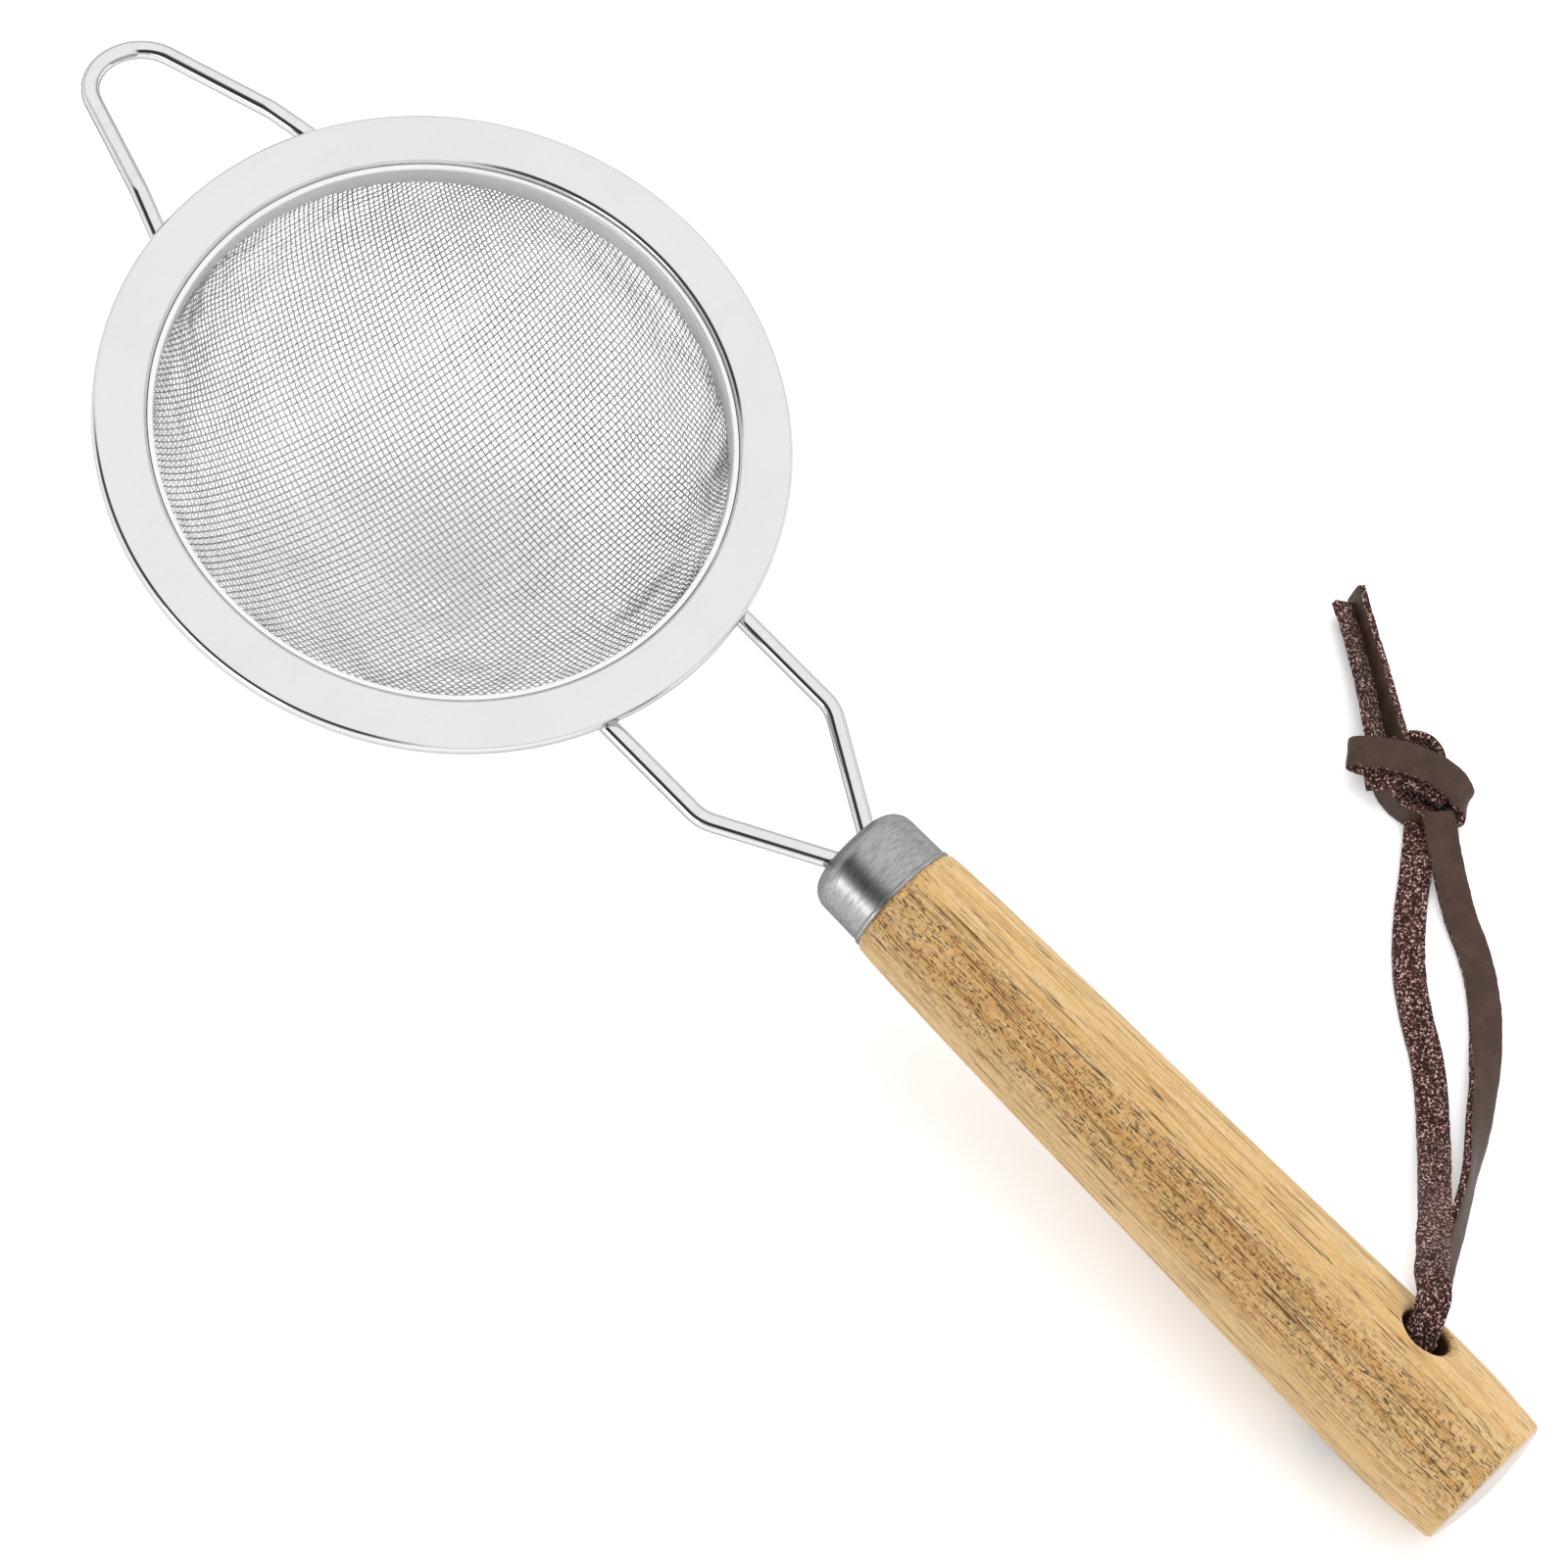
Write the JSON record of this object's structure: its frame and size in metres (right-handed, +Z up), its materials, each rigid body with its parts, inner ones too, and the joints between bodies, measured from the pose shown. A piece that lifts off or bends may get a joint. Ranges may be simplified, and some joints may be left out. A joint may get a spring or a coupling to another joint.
{
  "type": "tea strainer",
  "caption": "Hand tea strainer: domed wire-cloth bowl in a flanged rim, wire rest loop at the front, wooden handle on two wires with a leather lace.",
  "frame": {"origin": "on the surface the strainer lies on, under the middle of its overall box, lace left out", "axes": "+X from the front rest loop towards the handle's end, +Z up; the strainer lies on its bowl and its handle's end, rim tilted down towards the handle by 9.6 degrees"},
  "size_m": [0.2554, 0.1338, 0.047],
  "materials": {
    "rim_steel": "polished sheet with faint brushing",
    "band_steel": "satin",
    "woven_wire": "fine plain-weave wire cloth",
    "wire_steel": "polished wire",
    "ferrule_steel": "satin",
    "wood": "light, open-grained, lightly oiled",
    "leather": "smooth one side, suede the other"
  },
  "bodies": {
    "root": {"rim_flange": "rim_steel", "mesh_clamp_band": "band_steel", "mesh_bowl": "woven_wire", "front_rest_loop": "wire_steel", "yoke_wire_left": "wire_steel", "yoke_wire_right": "wire_steel", "handle_ferrule": "ferrule_steel", "handle_grip": "wood", "lace_bore_run": "leather", "lace_strand_left": "leather", "lace_strand_right": "leather", "lace_knot": "leather", "lace_tail_left": "leather", "lace_tail_right": "leather"}
  },
  "joints": []
}
